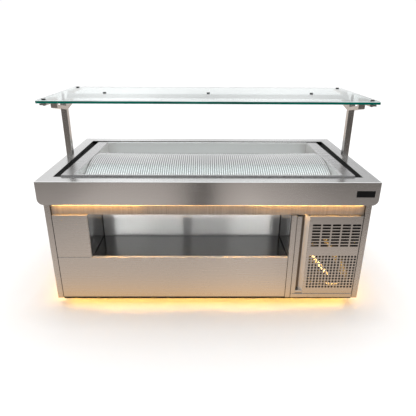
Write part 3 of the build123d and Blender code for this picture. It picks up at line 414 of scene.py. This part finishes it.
for key, body in (("lower_front_panel", "island"), ("upper_left_panel", "island"), ("door_leaf", "machine_door")):
    me = nodes[key].data.copy()
    me.name = key + "_sheet"
    me.materials.clear()
    for k in ("panel_X", "lip"):
        me.materials.append(mat[k])
    top = max(v.co.z for v in me.vertices)
    for f in me.polygons:
        f.material_index = 1 if f.normal.z > 0.6 and f.center.z > top - 0.004 else 0
    ob = bpy.data.objects.new(key + "_sheet", me)
    scene.collection.objects.link(ob)
    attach(ob, body)
    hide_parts(key)

# ---------------------------------------------------------------- floor, world, lights

bm = bmesh.new()
bmesh.ops.create_grid(bm, x_segments=40, y_segments=40, size=60.0)
fm = bpy.data.meshes.new("floor")
bm.to_mesh(fm)
bm.free()
floor = bpy.data.objects.new("floor", fm)
scene.collection.objects.link(floor)
fmat, nt, p = new_mat("floor_pale_painted_shadow")
a = noise(nt, (1.0, 1.0, 1.0), 2.0, 3.0, 0.5)
f_tc = nt.nodes.new("ShaderNodeTexCoord")
f_sep = nt.nodes.new("ShaderNodeSeparateXYZ")
nt.links.new(f_tc.outputs["Object"], f_sep.inputs["Vector"])
# painted shadow: the floor's colour darkens towards the island as its contact shadow
f_off = [
    math_node(nt, "MAXIMUM", math_node(nt, "SUBTRACT", math_node(nt, "ABSOLUTE", f_sep.outputs[i], 0.0), half), 0.0)
    for i, half in ((0, 0.96), (1, 0.53))
]
f_away = math_node(nt, "SQRT", math_node(nt, "ADD", math_node(nt, "MULTIPLY", f_off[0], f_off[0]), math_node(nt, "MULTIPLY", f_off[1], f_off[1])), 0.0)
painted_contact_shadow = ramp(nt, math_node(nt, "ADD", f_away, remap(nt, a, -0.02, 0.02)), [
    (0.0, 0.68), (0.12, 0.78), (0.25, 0.885), (0.45, 0.945), (0.8, 0.985)])
nt.links.new(painted_contact_shadow, p.inputs["Base Color"])
nt.links.new(remap(nt, a, 0.85, 0.95), p.inputs["Roughness"])
p.inputs["Specular IOR Level"].default_value = 0.0
fm.materials.append(fmat)
floor.visible_glossy = False

# An emissive board just under the floor stands in for it in reflections only, as a painted reflection: bright near
# the island, with a painted warm glow where the base lights fall, and dim far in front, where a real room has no
# lamps.
bm = bmesh.new()
bmesh.ops.create_grid(bm, x_segments=2, y_segments=2, size=60.0)
rm = bpy.data.meshes.new("floor_board")
bm.to_mesh(rm)
bm.free()
board = bpy.data.objects.new("floor_board", rm)
board.location.z = -0.002
scene.collection.objects.link(board)
bmat = bpy.data.materials.new("floor_board_painted_reflection")
bmat.use_nodes = True
bmat.cycles.emission_sampling = "NONE"
nt = bmat.node_tree
nt.nodes.clear()
b_out = nt.nodes.new("ShaderNodeOutputMaterial")
b_em = nt.nodes.new("ShaderNodeEmission")
nt.links.new(b_em.outputs["Emission"], b_out.inputs["Surface"])
b_tc = nt.nodes.new("ShaderNodeTexCoord")
b_sep = nt.nodes.new("ShaderNodeSeparateXYZ")
nt.links.new(b_tc.outputs["Object"], b_sep.inputs["Vector"])
bx, by = b_sep.outputs[0], b_sep.outputs[1]


def tinted(a, b):
    n = nt.nodes.new("ShaderNodeMix")
    n.data_type = "RGBA"
    n.blend_type = "MULTIPLY"
    n.inputs["Factor"].default_value = 1.0
    nt.links.new(a, n.inputs["A"])
    nt.links.new(b, n.inputs["B"])
    return n.outputs["Result"]


off_x = math_node(nt, "MAXIMUM", math_node(nt, "SUBTRACT", math_node(nt, "ABSOLUTE", bx, 0.0), 0.94), 0.0)
off_y = math_node(nt, "MAXIMUM", math_node(nt, "SUBTRACT", math_node(nt, "ABSOLUTE", by, 0.0), 0.535), 0.0)
away = math_node(nt, "SQRT", math_node(nt, "ADD", math_node(nt, "MULTIPLY", off_x, off_x), math_node(nt, "MULTIPLY", off_y, off_y)), 0.0)
painted_glow_near_island = ramp(nt, away, [
    (0.0, (1.0, 0.58, 0.20)), (0.05, (1.0, 0.60, 0.26)), (0.1, (1.0, 0.64, 0.33)), (0.2, (0.92, 0.66, 0.44)),
    (0.4, (0.71, 0.60, 0.515)), (0.8, (0.67, 0.58, 0.51)), (1.0, (0.63, 0.565, 0.52))])
far_y = math_node(nt, "DIVIDE", math_node(nt, "SUBTRACT", -1.2, by), 5.0)
depth_col = ramp(nt, far_y, [(0.0, 1.0), (0.10, 0.97), (0.16, 0.86), (0.3, 0.80), (0.5, 0.42), (1.0, 0.34)])
across = math_node(nt, "ADD", math_node(nt, "DIVIDE", bx, 3.0), 0.5)
panes_col = ramp(nt, across, [
    (0.0, 0.6), (0.05, 0.95), (0.11, 1.0), (0.2, 1.0), (0.34, 0.92), (0.42, 0.62), (0.465, 0.1), (0.485, 0.02), (0.505, 0.1), (0.55, 0.7),
    (0.66, 1.0), (0.75, 0.96), (0.84, 0.84), (0.94, 0.66), (1.0, 0.5)])
n = nt.nodes.new("ShaderNodeMix")
n.data_type = "RGBA"
nt.links.new(ramp(nt, far_y, [(0.08, 0.0), (0.16, 1.0)]), n.inputs["Factor"])
n.inputs["A"].default_value = (1.0, 1.0, 1.0, 1.0)
nt.links.new(panes_col, n.inputs["B"])
side_col = ramp(nt, math_node(nt, "ADD", math_node(nt, "DIVIDE", bx, 4.0), 0.5), [(0.45, 0.9), (0.56, 1.0), (0.62, 0.98), (0.68, 0.82), (1.0, 0.78)])
nt.links.new(tinted(tinted(painted_glow_near_island, depth_col), tinted(n.outputs["Result"], side_col)), b_em.inputs["Color"])
nt.links.new(remap(nt, by, 1.16, 1.35, 0.3, 0.6), b_em.inputs["Strength"])
rm.materials.append(bmat)
board.visible_camera = False
board.visible_diffuse = False
board.visible_transmission = False
board.visible_volume_scatter = False
board.visible_shadow = False

world = bpy.data.worlds.new("studio")
scene.world = world
world.use_nodes = True
nt = world.node_tree
nt.nodes.clear()
w_out = nt.nodes.new("ShaderNodeOutputWorld")
bg = nt.nodes.new("ShaderNodeBackground")
nt.links.new(bg.outputs["Background"], w_out.inputs["Surface"])
bg.inputs["Color"].default_value = (1.0, 1.0, 1.0, 1.0)
tc = nt.nodes.new("ShaderNodeTexCoord")
sep = nt.nodes.new("ShaderNodeSeparateXYZ")
nt.links.new(tc.outputs["Generated"], sep.inputs["Vector"])
dx, dy, dz = (sep.outputs[i] for i in range(3))


def smooth(value, a, b):
    n = nt.nodes.new("ShaderNodeMapRange")
    n.interpolation_type = "SMOOTHSTEP"
    n.inputs["From Min"].default_value = a
    n.inputs["From Max"].default_value = b
    nt.links.new(value, n.inputs["Value"])
    return n.outputs["Result"]


def blend(f, a, b):
    n = nt.nodes.new("ShaderNodeMix")
    n.data_type = "FLOAT"
    nt.links.new(f, n.inputs["Factor"])
    for s, v in ((n.inputs["A"], a), (n.inputs["B"], b)):
        if isinstance(v, (int, float)):
            s.default_value = v
        else:
            nt.links.new(v, s)
    return n.outputs["Result"]


def turn(a, b):
    n = math_node(nt, "ARCTAN2", a, b)
    return math_node(nt, "ADD", math_node(nt, "DIVIDE", n, 2.0 * math.pi), 0.5)


def to_value(col):
    n = nt.nodes.new("ShaderNodeRGBToBW")
    nt.links.new(col, n.inputs["Color"])
    return n.outputs["Val"]


# Brightness is held at half scale in the ramps, so 0.5 stands for 1.0.
round_col = to_value(ramp(nt, turn(dx, dy), [
    (0.0, 0.13), (0.2, 0.15), (0.3, 0.36), (0.41, 0.38), (0.445, 0.42), (0.47, 0.54), (0.49, 0.44), (0.5, 0.40),
    (0.53, 0.46), (0.565, 0.27), (0.65, 0.30), (0.72, 0.30), (0.8, 0.15), (1.0, 0.13)], "EASE"))
dip = math_node(nt, "MULTIPLY", smooth(dz, 0.13, 0.18), math_node(nt, "SUBTRACT", 1.0, smooth(dz, 0.21, 0.29)))
low = math_node(nt, "SUBTRACT", 2.0, math_node(nt, "MULTIPLY", dip, 0.4))
sky = blend(smooth(dz, 0.5, 0.85), math_node(nt, "MULTIPLY", round_col, low), 1.6)
ground = 0.5
upper = blend(smooth(dz, 0.088, 0.125), 1.02, sky)
whole = blend(smooth(dz, -0.12, -0.04), ground, upper)
# seen directly, the backdrop is plain and pale all round
path = nt.nodes.new("ShaderNodeLightPath")
nt.links.new(blend(path.outputs["Is Camera Ray"], whole, 1.02), bg.inputs["Strength"])


def lamp(name, kind, loc, energy, color, size=0.1, size_y=None, aim=None):
    d = bpy.data.lights.new(name, kind)
    d.energy = energy
    d.color = color
    if kind == "AREA":
        d.shape = "RECTANGLE"
        d.size = size
        d.size_y = size_y or size
    else:
        d.shadow_soft_size = size
    o = bpy.data.objects.new(name, d)
    o.location = loc
    if aim is not None:
        o.rotation_euler = (Vector(aim) - Vector(loc)).to_track_quat("-Z", "Y").to_euler()
    scene.collection.objects.link(o)
    return o


WARM = (1.0, 0.55, 0.16)
lamp("bay_lamp_high", "POINT", (0.78, -0.475, 0.57), 0.008, WARM, 0.02)
lamp("pull_lamp", "POINT", (0.588, -0.528, 0.645), 0.03, WARM, 0.004)
# warm strip light that falls slantwise on the pipe behind the door
o = lamp("bay_strip", "AREA", (0.745, -0.498, 0.236), 0.6, WARM, 0.32, 0.08)
o.rotation_euler = Matrix(((0.624, 0.782, 0.0), (0.0, 0.0, -1.0), (-0.782, 0.624, 0.0))).to_euler()
o.data.spread = math.radians(40.0)
# warm light that runs down the pull channel and along the fold of the apron
o = lamp("pull_strip", "AREA", (0.570, -0.530, 0.38), 0.011, WARM, 0.52, 0.006)
o.rotation_euler = Matrix(((0.0, 0.0, -1.0), (0.0, 1.0, 0.0), (1.0, 0.0, 0.0))).to_euler()
o = lamp("lip_strip", "AREA", (-0.11, -0.531, 0.62), 0.3, WARM, 1.2, 0.012, (-0.11, -0.531, 0.36))
o.data.spread = math.radians(20.0)
o.visible_glossy = False
o.visible_camera = False
# warm strip over the header
for k, (xa, xb, power) in enumerate(((-0.92, -0.40, 0.50), (-0.40, 0.25, 0.17), (0.25, 0.92, 0.50))):
    o = lamp("header_strip_%d" % k, "AREA", ((xa + xb) / 2, -0.548, 0.712), power, (1.0, 0.48, 0.09), xb - xa, 0.006, ((xa + xb) / 2, -0.525, 0.685))
    o.visible_glossy = False
    o.visible_camera = False
# large soft boxes low round the room, which reach the floor but not the polished sheet
for name, spot, power in (
    ("soft_left", (-5.0, 0.0, 2.2), 13.0), ("soft_right", (5.0, 0.0, 2.2), 15.0),
    ("soft_back", (0.0, 5.5, 2.4), 20.0), ("soft_front", (0.0, -6.0, 2.4), 56.0),
):
    o = lamp(name, "AREA", spot, power, (1.0, 1.0, 1.0), 4.0, 2.0, (0.0, 0.0, 0.2))
    o.visible_glossy = False
    o.visible_transmission = False
    o.visible_camera = False
# narrow soft boxes that fill the niche, with a gap left of the middle
for k, (xa, xb, power) in enumerate(((-0.64, -0.40, 0.32), (-0.40, -0.175, 0.195), (-0.115, 0.16, 0.15), (0.16, 0.43, 0.34))):
    o = lamp("niche_fill_%d" % k, "AREA", ((xa + xb) / 2, -0.66, 0.50), power, (1.0, 1.0, 1.0), xb - xa, 0.26, ((xa + xb) / 2, -0.22, 0.50))
    o.data.spread = math.radians(9.0)
    o.visible_glossy = False
    o.visible_transmission = False
    o.visible_camera = False
# the spill of the base strips at the two ends
for sgn in (-1, 1):
    o = lamp("base_spill_%s" % ("left" if sgn < 0 else "right"), "AREA", (sgn * 0.962, 0.0, 0.058), 0.75, (1.0, 0.46, 0.07), 0.95, 0.012, (sgn * 1.10, 0.0, 0.0))
    o.visible_glossy = False
    o.visible_transmission = False
    o.visible_camera = False

# ---------------------------------------------------------------- camera

t, r, y = math.radians(22.431), math.radians(0.318), math.radians(-0.587)
right0 = Vector((math.cos(y), math.sin(y), 0.0))
ahead = Vector((-math.sin(y), math.cos(y), 0.0))
fwd = ahead * math.cos(t) - Vector((0, 0, 1)) * math.sin(t)
up0 = ahead * math.sin(t) + Vector((0, 0, 1)) * math.cos(t)
right = right0 * math.cos(r) + up0 * math.sin(r)
up = up0 * math.cos(r) - right0 * math.sin(r)
loc = Vector((-0.0221, -2.7513, 1.6105))
cam_data = bpy.data.cameras.new("camera")
cam_data.sensor_width = 36.0
cam_data.sensor_fit = "HORIZONTAL"
cam_data.lens = 402.7 / 416.0 * 36.0
cam_data.shift_x = -0.0012
cam_data.clip_end = 200.0
cam = bpy.data.objects.new("camera", cam_data)
cam.matrix_world = Matrix((
    (right.x, up.x, -fwd.x, loc.x),
    (right.y, up.y, -fwd.y, loc.y),
    (right.z, up.z, -fwd.z, loc.z),
    (0.0, 0.0, 0.0, 1.0)))
scene.collection.objects.link(cam)
scene.camera = cam
scene.view_settings.view_transform = "Standard"
scene.view_settings.look = "None"
